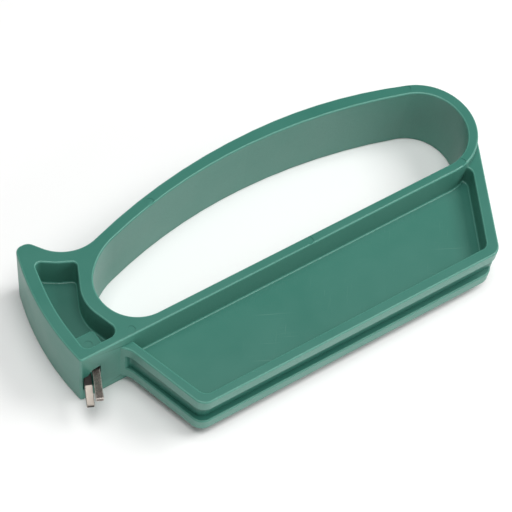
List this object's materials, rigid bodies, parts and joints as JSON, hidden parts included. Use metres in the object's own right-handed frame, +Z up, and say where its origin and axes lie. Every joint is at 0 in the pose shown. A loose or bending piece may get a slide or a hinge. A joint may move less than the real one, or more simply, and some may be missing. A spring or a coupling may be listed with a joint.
{
  "type": "pull-through tool sharpener",
  "caption": "Hand-held pull-through sharpener: moulded D-shaped grip with a nose and a finger guard, and crossed carbide cutters that form a V under the nose.",
  "frame": {"origin": "on the surface the tool lies on, under the middle of its box", "axes": "+X along the lower bar from nose to heel, +Y from the finger guard to the grip, +Z up through the thickness"},
  "size_m": [0.139, 0.0664, 0.023],
  "materials": {
    "moulded_green": "semi-gloss injection moulding, grey-green, slightly worn on the edges",
    "ground_carbide": "sintered carbide with a matt, pale ground bevel",
    "polished_carbide": "sintered carbide, darker, with a polished side face",
    "plated_screw": "bright zinc plate"
  },
  "bodies": {
    "root": {"body": "moulded_green", "front_cutter": "ground_carbide", "rear_cutter": "polished_carbide", "cutter_screw": "plated_screw"}
  },
  "joints": []
}
